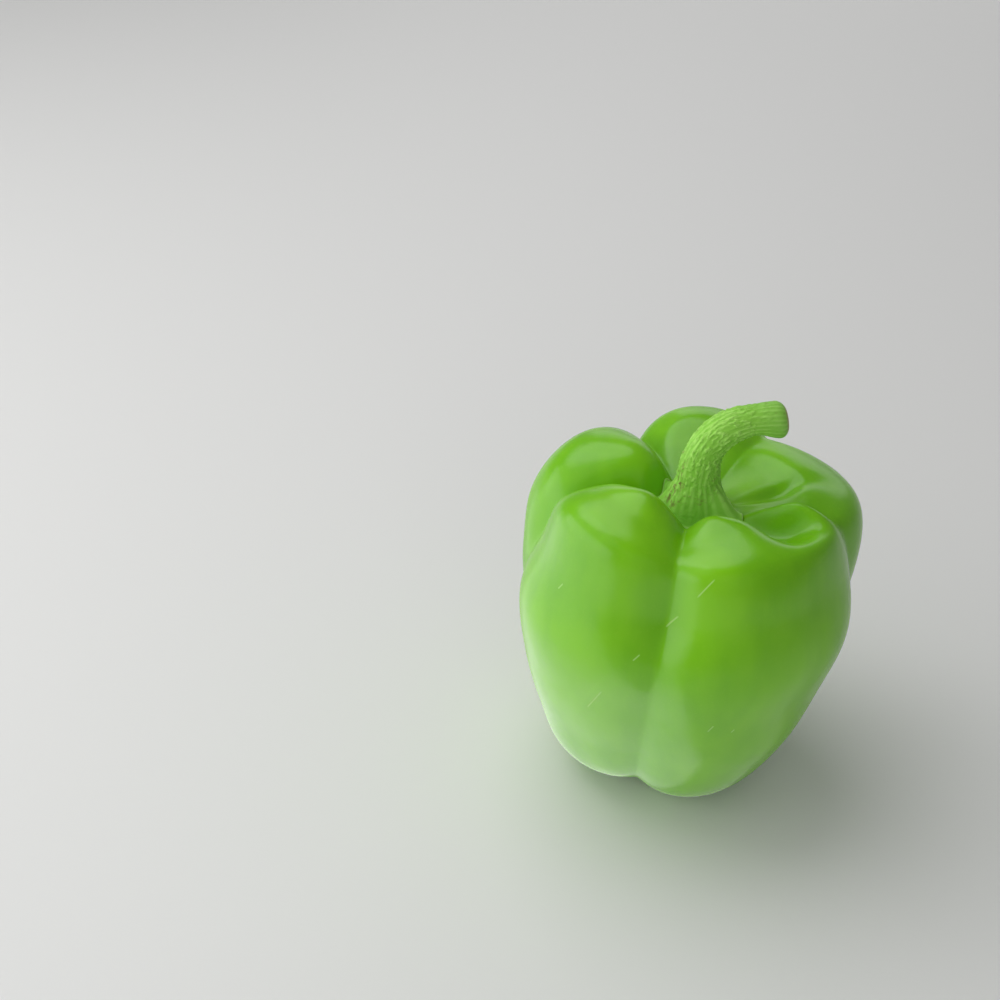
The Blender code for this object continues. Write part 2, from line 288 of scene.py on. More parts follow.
def outline(place, shoulder_z, rounding):
    """Outward distances and heights from the dimple below to the pit above."""
    out = (0.0, place.foot / 2, place.foot, (place.foot + place.waist) / 2 + rounding.foot,
           place.waist, (place.waist + place.belly) / 2 + rounding.belly, place.belly,
           place.shoulder, (place.shoulder + place.crest) / 2 + rounding.crest,
           place.crest, place.crest - INNER_STEP, PIT_RADIUS, 0.0)
    up = (DIMPLE_Z, place.foot_z + DIMPLE_RISE, place.foot_z, place.foot_z + rounding.foot_rise,
          WAIST_Z, (WAIST_Z + BELLY_Z) / 2, BELLY_Z,
          shoulder_z, place.crest_z - rounding.crest_drop,
          place.crest_z, place.crest_z - rounding.inner_drop, PIT_Z + rounding.pit_rise, PIT_Z)
    return np.array([out, up])


def groove_outline(groove, before, after):
    """The outline down a groove, cut in from the mean of its two neighbouring lobes."""
    mean = Lobe(*((a + b) / 2 for a, b in zip(before, after)))
    floor = mean._replace(foot_z=mean.foot_z + groove.foot, waist=mean.waist - groove.waist,
                          belly=mean.belly - groove.belly,
                          shoulder=mean.shoulder - groove.shoulder,
                          crest=mean.crest - GROOVE_CREST_STEP, crest_z=groove.pass_z)
    return outline(floor, SHOULDER_Z - GROOVE_SHOULDER_DROP, GROOVE_ROUNDING)


def hollowed(ridge, lobe_index, across):
    """The ridge outline for each column, with the lobe's soft hollows and its low bulge."""
    outlines = np.repeat(ridge[:, :, None], len(across), axis=2)
    if lobe_index == BULGE_LOBE:
        bulge = np.exp(-((across - BULGE_PLACE) / BULGE_WIDTH)**2)
        outlines[OUT, WAIST] += BULGE_HEIGHT * bulge
    for hollow in HOLLOWS:
        if hollow.lobe != lobe_index:
            continue
        depth = np.exp(-((across - hollow.place) / hollow.width)**2)
        outlines[UP, SLOPE] -= hollow.shoulder * depth
        outlines[UP, CREST] -= hollow.crest * depth
        outlines[UP, INNER] -= hollow.inner * depth
        outlines[OUT, SHOULDER] -= hollow.inset * depth
        outlines[OUT, SLOPE] -= hollow.inset * depth
    return outlines


def lobe_fields(index, heights, across):
    """What the lobed fruit's tree reads at each point of one lobe, as rows by columns."""
    lobe = LOBES[index]
    first, second = GROOVES[index], GROOVES[(index + 1) % len(GROOVES)]
    following = LOBES[(index + 1) % len(LOBES)]
    first_heading, second_heading = first.heading, second.heading
    if second_heading > first_heading:
        second_heading -= 360.0
    half_width = math.radians(first_heading - second_heading) / 2 * LOBE_ARC_RADIUS

    ridge = hollowed(outline(lobe, SHOULDER_Z, RIDGE_ROUNDING), index, across)
    blend = smoothstep(across)
    floor = (groove_outline(first, LOBES[index - 1], lobe)[:, :, None] * (1.0 - blend)
             + groove_outline(second, lobe, following)[:, :, None] * blend)
    ridge_rows = spline(np.moveaxis(ridge, 1, 0), heights)
    floor_rows = spline(np.moveaxis(floor, 1, 0), heights)

    turn = (2.0 * heights - 1.0)[:, None]
    start = first_heading + first.slant * turn
    end = second_heading + second.slant * turn
    shape = (len(heights), len(across))
    return {
        "ridge_out": ridge_rows[:, OUT] * MM,
        "ridge_up": ridge_rows[:, UP] * MM,
        "floor_out": floor_rows[:, OUT] * MM,
        "floor_up": floor_rows[:, UP] * MM,
        "heading": np.radians(start * (1.0 - across) + end * across),
        "across": np.broadcast_to(across, shape),
        "height": np.broadcast_to(heights[:, None], shape),
        "half_width": np.full(shape, half_width * MM),
    }


def closed_grid(name, points):
    """A closed mesh through rings of points; the first and last ring are shrunk to one point."""
    rings, sides = points.shape[0] - 2, points.shape[1]
    inner = points[1:-1].reshape(-1, 3)
    first, last = len(inner), len(inner) + 1
    faces = []
    for i in range(rings - 1):
        for j in range(sides):
            k = (j + 1) % sides
            faces.append((i * sides + j, i * sides + k, (i + 1) * sides + k, (i + 1) * sides + j))
    top = (rings - 1) * sides
    for j in range(sides):
        k = (j + 1) % sides
        faces.append((k, j, first))
        faces.append((top + j, top + k, last))
    mesh = bpy.data.meshes.new(name)
    vertices = np.concatenate([inner, points[:1, 0], points[-1:, 0]])
    mesh.from_pydata(vertices.tolist(), [], faces)
    return mesh


def store_field(mesh, name, rows):
    """Keep one number for each point of a closed grid, its two end points included."""
    values = np.concatenate([rows[1:-1].ravel(), rows[:1, 0], rows[-1:, 0]])
    layer = mesh.attributes.new(name, "FLOAT", "POINT")
    layer.data.foreach_set("value", values.astype(np.float32))


def outward(mesh):
    """Turn a closed mesh's faces outwards."""
    bm = bmesh.new()
    bm.from_mesh(mesh)
    bmesh.ops.recalc_face_normals(bm, faces=bm.faces[:])
    bm.to_mesh(mesh)
    bm.free()


def skin_tree(item):
    """A search tree over an object's faces."""
    return BVHTree.FromObject(item, bpy.context.evaluated_depsgraph_get())


class Rule:
    """Writes a rule into a node tree, one method for each kind of step, as a formula would."""

    def __init__(self, tree):
        self.tree = tree
        self.count = 0

    def node(self, kind, **values):
        """Add one node, set its own values and place it below the last, or in a new column."""
        made = self.tree.nodes.new(kind)
        for name, value in values.items():
            setattr(made, name, value)
        self.count += 1
        column, row = divmod(self.count, NODE_ROWS)
        made.location = (NODE_SPACING[0] * column, NODE_SPACING[1] * row)
        return made

    def feed(self, socket, value):
        """Link a socket to an output, or set it to a plain value."""
        if isinstance(value, bpy.types.NodeSocket):
            self.tree.links.new(value, socket)
        else:
            socket.default_value = value

    def step(self, kind, given, **values):
        """Add a node, feed its sockets in their order and return its first output."""
        made = self.node(kind, **values)
        for socket, value in zip(made.inputs, given):
            self.feed(socket, value)
        return made.outputs[0]

    def math(self, operation, *values):
        """One step of arithmetic."""
        return self.step("ShaderNodeMath", values, operation=operation)

    def vector(self, operation, *values):
        """One step of arithmetic on vectors; SCALE takes its factor last."""
        made = self.node("ShaderNodeVectorMath", operation=operation)
        sockets = [made.inputs[0], made.inputs["Scale"]] if operation == "SCALE" else made.inputs
        for socket, value in zip(sockets, values):
            self.feed(socket, value)
        return made.outputs["Value" if operation in ("DOT_PRODUCT", "LENGTH") else "Vector"]

    def point(self, x, y, z):
        """Three numbers as one vector."""
        return self.step("ShaderNodeCombineXYZ", (x, y, z))

    def mix(self, share, first, second):
        """A number between two others."""
        made = self.node("ShaderNodeMix", data_type="FLOAT")
        for name, value in (("Factor", share), ("A", first), ("B", second)):
            self.feed(made.inputs[name], value)
        return made.outputs[0]

    def smooth(self, value, low, high, start=0.0, end=1.0):
        """Go smoothly from start to end as a value goes from low to high."""
        return self.step("ShaderNodeMapRange", (value, low, high, start, end),
                         interpolation_type="SMOOTHSTEP")

    def noise(self, place, scale, detail=2.0, roughness=0.5, distortion=0.0):
        """Smooth noise from 0 to 1."""
        made = self.node("ShaderNodeTexNoise")
        for name, value in (("Vector", place), ("Scale", scale), ("Detail", detail),
                            ("Roughness", roughness), ("Distortion", distortion)):
            self.feed(made.inputs[name], value)
        return made.outputs[0]


class SurfaceRule(Rule):
    """A rule in a geometry tree, with named inputs and an end that every tree here shares."""

    def __init__(self, name, settings):
        tree = bpy.data.node_groups.new(name, "GeometryNodeTree")
        super().__init__(tree)
        tree.interface.new_socket("Geometry", in_out="INPUT", socket_type="NodeSocketGeometry")
        for label, (kind, _) in settings.items():
            tree.interface.new_socket(label, in_out="INPUT", socket_type="NodeSocket" + kind)
        tree.interface.new_socket("Geometry", in_out="OUTPUT", socket_type="NodeSocketGeometry")
        self.given = self.node("NodeGroupInput").outputs
        self.settings = settings
        self.geometry = self.given["Geometry"]

    def field(self, name):
        """A number kept on the mesh's points."""
        made = self.node("GeometryNodeInputNamedAttribute", data_type="FLOAT")
        made.inputs["Name"].default_value = name
        return made.outputs["Attribute"]

    def through(self, made, **values):
        """Run the mesh through a node, whose other sockets are set by name."""
        self.feed(made.inputs["Geometry"], self.geometry)
        for name, value in values.items():
            self.feed(made.inputs[name], value)
        self.geometry = made.outputs["Geometry"]

    def store(self, name, value):
        """Keep a number on the mesh's points for its material."""
        made = self.node("GeometryNodeStoreNamedAttribute", data_type="FLOAT", domain="POINT")
        self.through(made, Name=name, Value=value)

    def place(self, position):
        """Move the points to new places."""
        self.through(self.node("GeometryNodeSetPosition"), Position=position)

    def raise_by(self, distance):
        """Move the points outwards, along their normals."""
        normal = self.node("GeometryNodeInputNormal").outputs[0]
        self.through(self.node("GeometryNodeSetPosition"),
                     Offset=self.vector("SCALE", normal, distance))

    def finished_mesh(self, mesh, material):
        """Run the tree on a mesh and return the plain mesh that it makes."""
        self.through(self.node("GeometryNodeRealizeInstances"))
        self.through(self.node("GeometryNodeSetMaterial"), Material=material)
        self.feed(self.node("NodeGroupOutput").inputs[0], self.geometry)

        helper = bpy.data.objects.new(mesh.name + "_helper", mesh)
        bpy.context.scene.collection.objects.link(helper)
        modifier = helper.modifiers.new(self.tree.name, "NODES")
        modifier.node_group = self.tree
        for entry in self.tree.interface.items_tree:
            if entry.in_out == "INPUT" and entry.name in self.settings:
                modifier[entry.identifier] = self.settings[entry.name][1]
        graph = bpy.context.evaluated_depsgraph_get()
        made = bpy.data.meshes.new_from_object(helper.evaluated_get(graph),
                                               preserve_all_data_layers=True, depsgraph=graph)
        helper.modifiers.clear()
        bpy.data.objects.remove(helper)
        return made


class Coat(Rule):
    """A material written as a rule; its shader is set and linked by socket name."""

    def __init__(self, name):
        material = bpy.data.materials.new(name)
        material.use_nodes = True
        super().__init__(material.node_tree)
        self.material = material
        self.shader = self.tree.nodes["Principled BSDF"]
        self.position = self.node("ShaderNodeTexCoord").outputs["Object"]

    def field(self, name):
        """A number kept on the mesh's points."""
        return self.node("ShaderNodeAttribute", attribute_name=name).outputs["Fac"]

    def blend(self, share, first, second):
        """A colour between two others; each is an output or three numbers."""
        made = self.node("ShaderNodeMix", data_type="RGBA")
        self.feed(made.inputs[0], share)
        # The node's colour sockets come after those for numbers and vectors
        for socket, tint in ((made.inputs[6], first), (made.inputs[7], second)):
            self.feed(socket, tint if isinstance(tint, bpy.types.NodeSocket) else (*tint, 1.0))
        return made.outputs[2]

    def stretched(self, scale):
        """The position with each axis scaled, so that noise on it is stretched."""
        made = self.node("ShaderNodeMapping")
        made.inputs["Scale"].default_value = scale
        self.feed(made.inputs["Vector"], self.position)
        return made.outputs[0]

    def bump(self, height, depth, under=None):
        """Small relief of a depth in millimetres, on top of another bump if one is given."""
        made = self.node("ShaderNodeBump")
        made.inputs["Distance"].default_value = depth * MM
        self.feed(made.inputs["Height"], height)
        if under is not None:
            self.feed(made.inputs["Normal"], under)
        return made.outputs[0]

    def set(self, **values):
        """Set or link sockets of the shader; underscores stand for spaces."""
        for name, value in values.items():
            self.feed(self.shader.inputs[name.replace("_", " ")], value)


def add_piece(name, mesh, node):
    """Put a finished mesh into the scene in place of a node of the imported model."""
    mesh.shade_smooth()
    item = bpy.data.objects.new(name, mesh)
    bpy.context.scene.collection.objects.link(item)
    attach(item, "root")
    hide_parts(node)
    return item


def millimetres(name, description, value):
    """A length that is set in metres and shown in the scene's unit."""
    return FloatProperty(name=name, description=description, default=value * MM, min=0.0,
                         subtype="DISTANCE", unit="LENGTH", precision=5)


def color(name, description, value):
    """A colour as light, from 0 to 1 in each channel."""
    return FloatVectorProperty(name=name, description=description, default=value, size=3,
                               min=0.0, max=1.0, subtype="COLOR")


def power(name, description, value):
    """The power of one light."""
    return FloatProperty(name=name, description=description, default=value, min=0.0,
                         subtype="POWER", unit="POWER")


class FruitSettings(bpy.types.PropertyGroup):
    """Sizes and colours of the fruit."""
    lobe_curve: FloatProperty(name="Lobe curve", default=2.2, min=1.0, max=4.0,
                              description="How early a lobe's side turns flat, from the groove up")
    lobe_fullness: FloatProperty(name="Lobe fullness", default=0.75, min=0.3, max=1.5,
                                 description="How steeply a lobe rises out of its groove")
    floor_bottom: millimetres("Groove floor below", "Radius of a groove's floor at the feet", 4.0)
    floor_top: millimetres("Groove floor above", "Radius of a groove's floor at the crest", 2.0)
    lean_height: millimetres("Lean height", "Height over which the fruit leans", 90.0)
    foot_press: millimetres("Foot press", "How far the feet are pressed flat", 0.6)
    dent_depth: millimetres("Dent depth", "Depth of the skin's shallow dents", 0.22)
    dent_size: millimetres("Dent size", "Width of the skin's shallow dents", 17.0)
    deep_green: color("Deep green", "Colour of the skin's darker patches", (0.15, 0.45, 0.002))
    fresh_green: color("Fresh green", "Colour of most of the skin", (0.2, 0.54, 0.003))
    pale_green: color("Pale green", "Colour of the skin near the stem", (0.27, 0.54, 0.03))
    scratch: color("Scratch", "Colour of the dry scratches", (0.48, 0.72, 0.24))
    scar: color("Scar", "Colour of the scar under the fruit", (0.3, 0.22, 0.08))
    roughness: FloatProperty(name="Roughness", description="How dull the skin's wax is",
                             default=0.25, min=0.0, max=1.0, subtype="FACTOR")


class StemSettings(bpy.types.PropertyGroup):
    """Sizes and colours of the stem and its calyx."""
    ridges: IntProperty(name="Ridges", description="Ridges round the stem", default=22, min=3,
                        max=30)
    ridge_height: millimetres("Ridge height", "Height of the stem's ridges", 0.17)
    wart_height: millimetres("Wart height", "Height of the stem's small warts", 0.32)
    wart_size: millimetres("Wart size", "Width of the stem's small warts", 0.6)
    # The paler green is a painted highlight on the ridges and warts, the darker one painted shade
    # in the valleys
    light_green: color("Light green", "Colour of the ridges and warts", (0.42, 0.79, 0.15))
    dark_green: color("Dark green", "Colour of the valleys", (0.23, 0.56, 0.05))
    brown: color("Brown", "Colour of the dry streaks and spots", (0.2, 0.17, 0.05))
    cut: color("Cut", "Colour of the cut end", (0.42, 0.43, 0.17))


class StageSettings(bpy.types.PropertyGroup):
    """The table, the lights and their strength."""
    floor_size: FloatProperty(name="Table size", description="Width of the round table",
                              default=3.0, min=0.5, subtype="DISTANCE", unit="LENGTH")
    floor: color("Table colour", "Colour of the pale table", (0.75, 0.75, 0.74))
    surroundings: FloatProperty(name="Surroundings", default=0.22, min=0.0, max=5.0,
                                description="Brightness of the pale room")
    side_light: power("Side light", "Power of the low light on the left", 1.45)
    high_light: power("High light", "Power of the high light on the left", 0.8)
    over_light: power("Over light", "Power of the light overhead", 2.9)
    back_light: power("Back light", "Power of the low light behind", 0.6)
    card_light: power("Card light", "Power of the bright card on the left", 0.5)
    near_card: power("Near card", "Power of the bright card in front", 0.075)
    fill_light: power("Fill light", "Power of the fill light in front", 1.0)


def fruit_tree(settings):
    """The tree that swells each lobe out of its grooves, turns it to its heading and dents it."""
    rule = SurfaceRule("lobed_fruit", {
        "Lobe Curve": ("Float", settings.lobe_curve),
        "Lobe Fullness": ("Float", settings.lobe_fullness),
        "Groove Floor Below": ("Float", settings.floor_bottom),
        "Groove Floor Above": ("Float", settings.floor_top),
        "Lean Height": ("Float", settings.lean_height),
        "Foot Press": ("Float", settings.foot_press),
        "Dent Depth": ("Float", settings.dent_depth),
        "Dent Size": ("Float", settings.dent_size),
    })
    given, math_ = rule.given, rule.math
    half_width = rule.field("half_width")
    rise = rule.smooth(rule.field("height"), 0.0, 1.0)
    floor = rule.mix(rise, given["Groove Floor Below"], given["Groove Floor Above"])

    # The distance in from the nearest groove, softened by the groove's rounded floor
    side = math_("ABSOLUTE", math_("MULTIPLY_ADD", rule.field("across"), 2.0, -1.0))
    inward = math_("MULTIPLY", math_("SUBTRACT", 1.0, side), half_width)

    def softened(distance):
        """A distance from a groove, measured up from the groove's rounded floor."""
        squares = math_("ADD", math_("POWER", distance, 2.0), math_("POWER", floor, 2.0))
        return math_("SUBTRACT", math_("SQRT", squares), floor)

    share = math_("DIVIDE", softened(inward), softened(half_width))
    rest = math_("POWER", math_("MAXIMUM", math_("SUBTRACT", 1.0, share), 0.0),
                 given["Lobe Curve"])
    swell = math_("POWER", math_("SUBTRACT", 1.0, rest), given["Lobe Fullness"])

    out = rule.mix(swell, rule.field("floor_out"), rule.field("ridge_out"))
    up = rule.mix(swell, rule.field("floor_up"), rule.field("ridge_up"))
    lean = rule.smooth(up, 0.0, given["Lean Height"])
    middle_x = rule.mix(lean, BOTTOM_MIDDLE[0] * MM, TOP_MIDDLE[0] * MM)
    middle_y = rule.mix(lean, BOTTOM_MIDDLE[1] * MM, TOP_MIDDLE[1] * MM)
    heading = rule.field("heading")
    rule.store("swell", swell)
    rule.place(rule.point(math_("MULTIPLY_ADD", out, math_("COSINE", heading), middle_x),
                          math_("MULTIPLY_ADD", out, math_("SINE", heading), middle_y),
                          math_("SUBTRACT", up, given["Foot Press"])))

    # Shallow dents, and then the feet pressed flat on the ground
    place = rule.node("GeometryNodeInputPosition").outputs[0]
    dents = rule.noise(place, math_("DIVIDE", 1.0, given["Dent Size"]), detail=1.0)
    rule.raise_by(math_("MULTIPLY", math_("SUBTRACT", dents, 0.5), given["Dent Depth"]))
    apart = rule.node("ShaderNodeSeparateXYZ")
    rule.feed(apart.inputs[0], rule.node("GeometryNodeInputPosition").outputs[0])
    rule.place(rule.point(apart.outputs[0], apart.outputs[1],
                          math_("MAXIMUM", apart.outputs[2], 0.0)))
    return rule


def fruit_cage():
    """A closed grid that holds, at each point, what the lobed fruit's tree reads."""
    heights = np.linspace(0.0, 1.0, FRUIT_ROWS + 2)
    even = np.arange(LOBE_COLUMNS) / LOBE_COLUMNS
    across = even - COLUMN_GATHER * np.sin(2 * math.pi * even) / (2 * math.pi)
    lobes = [lobe_fields(index, heights, across) for index in range(len(LOBES))]
    fields = {name: np.concatenate([lobe[name] for lobe in lobes], axis=1) for name in lobes[0]}
    heading, out, up = fields["heading"], fields["ridge_out"], fields["ridge_up"]
    mesh = closed_grid("fruit_skin", np.stack([out * np.cos(heading), out * np.sin(heading), up],
                                              axis=-1))
    for name, rows in fields.items():
        store_field(mesh, name, rows)
    return mesh


def centred(mesh):
    """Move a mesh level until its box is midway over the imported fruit's box."""
    low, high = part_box("fruit")
    places = np.empty(len(mesh.vertices) * 3, np.float32)
    mesh.vertices.foreach_get("co", places)
    places = places.reshape(-1, 3)
    shift = (np.array(low) + np.array(high)) / 2 - (places.min(0) + places.max(0)) / 2
    mesh.transform(Matrix.Translation((shift[0], shift[1], 0.0)))


def skin_hit(pixel, tree):
    """Where the camera's ray through a pixel of the photograph meets the skin, and its normal."""
    turn = Euler((math.radians(CAMERA_PITCH), 0.0, math.radians(CAMERA_YAW))).to_matrix()
    scale = CAMERA_SENSOR / CAMERA_LENS / IMAGE_SIZE
    ray = turn @ Vector(((pixel[0] - IMAGE_SIZE / 2) * scale, (IMAGE_SIZE / 2 - pixel[1]) * scale,
                         -1.0))
    return tree.ray_cast(Vector(CAMERA_PLACE), ray.normalized())[:2]


def back_scratches(tree):
    """Short scratches on the sides that the photograph doesn't show."""
    draw = random.Random(SCRATCH_SEED)
    marks = []
    for _ in range(BACK_SCRATCHES):
        heading = math.radians(draw.uniform(*BACK_HEADINGS))
        height = draw.uniform(*BACK_HEIGHTS) * MM
        slant = draw.uniform(*BACK_SLANTS) * MM
        ends = []
        for sign in (-1, 1):
            turn = heading + sign * draw.uniform(*BACK_HALF_TURNS)
            start = Vector((math.cos(turn), math.sin(turn), height + sign * slant / 2))
            inward = Vector((-math.cos(turn), -math.sin(turn), 0.0))
            ends.append(tree.ray_cast(start, inward)[:2])
        marks.append(tuple(ends))
    return marks


def scratch_mask(coat, marks):
    """1 on the dry scratches, which are thin and taper to their ends, and 0 elsewhere."""
    mask = 0.0
    for (start, normal), (end, _) in marks:
        along = end - start
        side = along.cross(normal).normalized()
        from_middle = coat.vector("SUBTRACT", coat.position, tuple((start + end) / 2))

        def distance(direction):
            """How far a point is from the scratch's middle in one direction."""
            return coat.math("ABSOLUTE", coat.vector("DOT_PRODUCT", from_middle, tuple(direction)))

        line = coat.smooth(distance(side), 0.0, SCRATCH_WIDTH * MM, 1.0, 0.0)
        ends = coat.smooth(distance(along / along.length_squared), *SCRATCH_TAPER, 1.0, 0.0)
        near = coat.smooth(distance(normal), SCRATCH_DEPTH * MM, 2 * SCRATCH_DEPTH * MM, 1.0, 0.0)
        line = coat.math("MULTIPLY", coat.math("MULTIPLY", line, ends), near)
        mask = coat.math("MAXIMUM", mask, line)
    return mask


def waxy_skin(settings, marks, scar_place):
    """Waxy green skin: patches of two greens, paler near the stem, with dry scratches."""
    coat = Coat("waxy_skin")
    clouds = coat.noise(coat.stretched((1.0, 1.0, 0.45)), PATCH_SCALE, 3.0, 0.55)
    patches = coat.smooth(clouds, 0.38, 0.66)
    streaks = coat.noise(coat.stretched((1.0, 1.0, 0.12)), STREAK_SCALE, 3.0, 0.6)
    green = coat.blend(patches, settings.deep_green, settings.fresh_green)
    green = coat.blend(coat.smooth(streaks, 0.35, 0.8, 0.0, 0.35), green, settings.fresh_green)

    # The skin pales in towards the stem, and is darkened along the grooves as painted shade
    swell, height = coat.field("swell"), coat.field("height")
    near_stem = coat.smooth(height, 0.75, 0.97, 0.0, 0.3)
    green = coat.blend(near_stem, green, settings.pale_green)
    # Painted shade: the grooves are blended towards the deep green
    groove = coat.smooth(swell, 0.0, 0.55, 0.5, 0.0)
    green = coat.blend(groove, green, settings.deep_green)

    # Tiny pale dots, then the scratches, and the scar where the flower was
    cells = coat.node("ShaderNodeTexVoronoi")
    coat.feed(cells.inputs["Vector"], coat.position)
    cells.inputs["Scale"].default_value = DOT_SCALE
    dots = coat.smooth(cells.outputs["Distance"], 0.08, 0.3, 0.12, 0.0)
    green = coat.blend(dots, green, settings.pale_green)
    scratches = scratch_mask(coat, marks)
    green = coat.blend(coat.math("MULTIPLY", scratches, 0.8), green, settings.scratch)
    from_scar = coat.vector("LENGTH", coat.vector("SUBTRACT", coat.position, tuple(scar_place)))
    ragged = coat.math("MULTIPLY_ADD", coat.noise(coat.position, SCAR_SCALE, 3.0),
                       SCAR_WANDER * MM, from_scar)
    scar = coat.smooth(ragged, SCAR_EDGE[0] * MM, SCAR_EDGE[1] * MM, 0.9, 0.0)
    green = coat.blend(scar, green, settings.scar)

    fine = coat.noise(coat.position, GRAIN_SCALE)
    ripple = coat.noise(coat.position, RIPPLE_SCALE)
    normal = coat.bump(ripple, RIPPLE_DEPTH, coat.bump(fine, GRAIN_DEPTH))
    dry = coat.math("MAXIMUM", scratches, scar)
    coat.set(Base_Color=green, Roughness=coat.math("MULTIPLY_ADD", dry, 0.4, settings.roughness),
             IOR=1.44, Subsurface_Weight=0.15, Subsurface_Radius=(0.0015, 0.003, 0.0004),
             Subsurface_Scale=1.0, Normal=normal)
    return coat.material


def stem_frames(rings):
    """Centre, forward and outer directions of each ring along the bent stem."""
    heading = math.radians(STEM_HEADING)
    sideways = np.array([math.cos(heading), math.sin(heading), 0.0])
    step = STEM_LENGTH / (rings - 1)
    centre = np.array(NECK)
    frames = []
    for ring in range(rings):
        bend = smoothstep((ring * step - BEND_START) / (BEND_END - BEND_START))
        tilt = math.radians(STEM_END_TILT * bend)
        forward = sideways * math.sin(tilt) + np.array([0.0, 0.0, math.cos(tilt)])
        outer = np.array([0.0, 0.0, math.sin(tilt)]) - sideways * math.cos(tilt)
        frames.append((centre.copy(), forward, outer))
        centre = centre + forward * step
    return frames


def stem_angles():
    """Angles of the points round a ring, from the side that the stem bends to."""
    return np.arange(STEM_SIDES) * 2 * math.pi / STEM_SIDES


def tube_rings():
    """Smooth rings up the stem, then rings over its slanted, slightly hollow cut end."""
    angles = stem_angles()
    frames = stem_frames(STEM_RINGS)
    places = np.linspace(0.0, 1.0, STEM_RINGS)
    radii = spline(np.array(STEM_RADII), places)
    heading = math.radians(STEM_HEADING)
    side = np.array([-math.sin(heading), math.cos(heading), 0.0])
    cut = math.tan(math.radians(CUT_SLANT))
    rings = []
    for (centre, forward, outer), place, radius in zip(frames, places, radii):
        heel = HEEL_FLARE * smoothstep((place - HEEL_START) / (1.0 - HEEL_START))
        radius = radius + heel * np.cos(angles / 2)**4
        across, along = -radius * np.cos(angles), radius * np.sin(angles)
        slant = -cut * across * smoothstep((place - CUT_SLANT_START) / (1.0 - CUT_SLANT_START))
        rings.append(centre + np.outer(across, outer) + np.outer(along, side)
                     + np.outer(slant, forward))
    last, forward = rings[-1], frames[-1][1]
    end = last.mean(axis=0)
    rounding = CUT_ROUNDING / radii[-1]
    for turn in np.linspace(0.0, math.pi / 2, ROUND_RINGS)[1:]:
        size = 1.0 - rounding * (1.0 - math.cos(turn))
        rings.append(end + (last - end) * size + forward * CUT_ROUNDING * math.sin(turn))
    faces = []
    for share in np.linspace(0.0, 1.0, CUT_RINGS + 1)[1:]:
        rise = CUT_ROUNDING - CUT_HOLLOW * smoothstep(share * 2.0)
        faces.append(end + (last - end) * (1.0 - rounding) * (1.0 - share) + forward * rise)
    return rings, faces


def calyx_edge(angles):
    """Distance of the calyx's edge from the stem's middle, in each direction."""
    edge = np.full(len(angles), CALYX_RADIUS)
    for heading, length in CALYX_TEETH:
        away = (np.degrees(angles) - heading + 180.0) % 360.0 - 180.0
        edge += length * np.exp(-(away / TOOTH_WIDTH)**2)
    return edge


def skin_heights(tree, spots):
    """Heights of the fruit's skin below points seen from above."""
    heights = []
    for x, y in spots:
        hit = tree.ray_cast(Vector((x * MM, y * MM, 1.0)), Vector((0.0, 0.0, -1.0)))[0]
        heights.append(hit.z / MM)
    return np.array(heights)


def calyx_rings(tree):
    """Rings of the calyx: its underside from the middle outwards, then its top to the neck."""
    angles = stem_angles() + math.radians(STEM_HEADING)
    edge = calyx_edge(angles)
    directions = np.stack([np.cos(angles), np.sin(angles)], -1)
    middle = np.array(NECK[:2])
    tooth = (edge - CALYX_RADIUS) / max(length for _, length in CALYX_TEETH)
    flare = CALYX_FLARE + (TOOTH_FLARE - CALYX_FLARE) * tooth
    under, over = [], []
    for share in np.linspace(0.0, 1.0, UNDERSIDE_RINGS):
        spots = middle + directions * (edge * share)[:, None]
        under.append(np.column_stack([spots, skin_heights(tree, spots) - CALYX_SINK]))
    for share in np.linspace(1.0, 0.0, FLARE_RINGS, endpoint=False):
        spots = middle + directions * (NECK_RADIUS + (edge - NECK_RADIUS) * share)[:, None]
        low = skin_heights(tree, spots) + CALYX_THICKNESS
        rim = RIM_HEIGHT * math.exp(-((1.0 - share) / RIM_WIDTH)**2)
        rise = (NECK[2] - low) * (1.0 - share)**flare
        over.append(np.column_stack([spots, low + rise + rim]))
    return under, over


def stem_cage(tree):
    """A closed grid through the calyx, the stem and its cut end, with what its tree reads."""
    under, over = calyx_rings(tree)
    tube, faces = tube_rings()
    rings = under + over + tube + faces
    around = np.broadcast_to(np.arange(STEM_SIDES) / STEM_SIDES, (len(rings), STEM_SIDES))
    flare = np.concatenate([np.zeros(len(under)), np.linspace(0.0, 1.0, len(over)),
                            np.ones(len(tube) + len(faces))])
    along = np.concatenate([np.zeros(len(under) + len(over)), np.linspace(0.0, 1.0, len(tube)),
                            np.ones(len(faces))])
    turned = np.linspace(0.0, CUT_EDGE, ROUND_RINGS)[1:]
    cut = np.concatenate([np.zeros(len(rings) - len(faces) - len(turned)), turned,
                          np.linspace(CUT_EDGE, 1.0, len(faces))])
    mesh = closed_grid("stem_and_calyx", np.array(rings) * MM)
    store_field(mesh, "around", around)
    for name, values in (("flare", flare), ("along", along), ("cut", cut)):
        store_field(mesh, name, np.broadcast_to(values[:, None], around.shape))
    outward(mesh)
    return mesh


